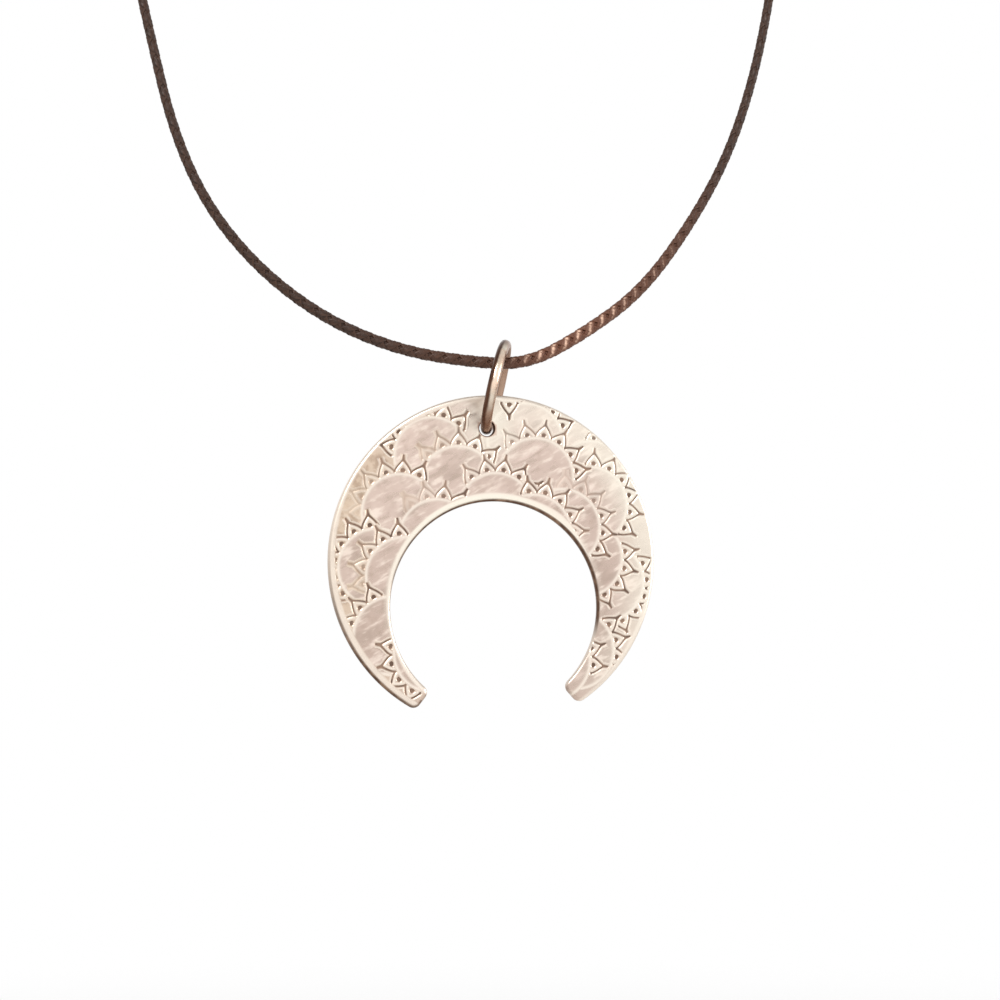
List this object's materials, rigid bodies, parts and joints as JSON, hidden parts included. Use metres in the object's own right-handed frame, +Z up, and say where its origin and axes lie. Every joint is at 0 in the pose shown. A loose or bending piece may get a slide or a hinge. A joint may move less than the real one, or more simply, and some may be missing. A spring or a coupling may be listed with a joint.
{
  "type": "moon cord necklace",
  "caption": "Necklace of plaited cord with a jump ring that carries a flat open crescent moon of stamped copper sheet, closed by a barrel clasp.",
  "frame": {"origin": "the nape, at the middle of the barrel clasp, where the necklace hangs", "axes": "+Z up, +X to the wearer's left, which is right in a front view, and the stamped face looks along -Y"},
  "size_m": [0.0922, 0.0197, 0.1909],
  "materials": {
    "plaited_cord": "waxed plaited cord, dark brown with a slight gloss",
    "clasp_copper": "polished rose copper",
    "ring_copper": "polished rose copper",
    "stamped_copper": "stamped, brushed and polished copper with darkened recesses"
  },
  "bodies": {
    "cord": {"cord": "plaited_cord", "barrel_clasp": "clasp_copper"},
    "ring": {"jump_ring": "ring_copper"},
    "moon": {"moon_pendant": "stamped_copper"}
  },
  "joints": [
    {"name": "ring_swing", "type": "hinge", "parent": "cord", "child": "ring", "pos_m": [0.0051, -0.012, -0.149], "axis": [1, 0, 0], "range_deg": [-70, 70]},
    {"name": "moon_swing", "type": "hinge", "parent": "ring", "child": "moon", "pos_m": [0.00327, -0.012, -0.15663], "axis": [0.268, 0.9613, -0.0643], "range_deg": [-35, 35]}
  ]
}
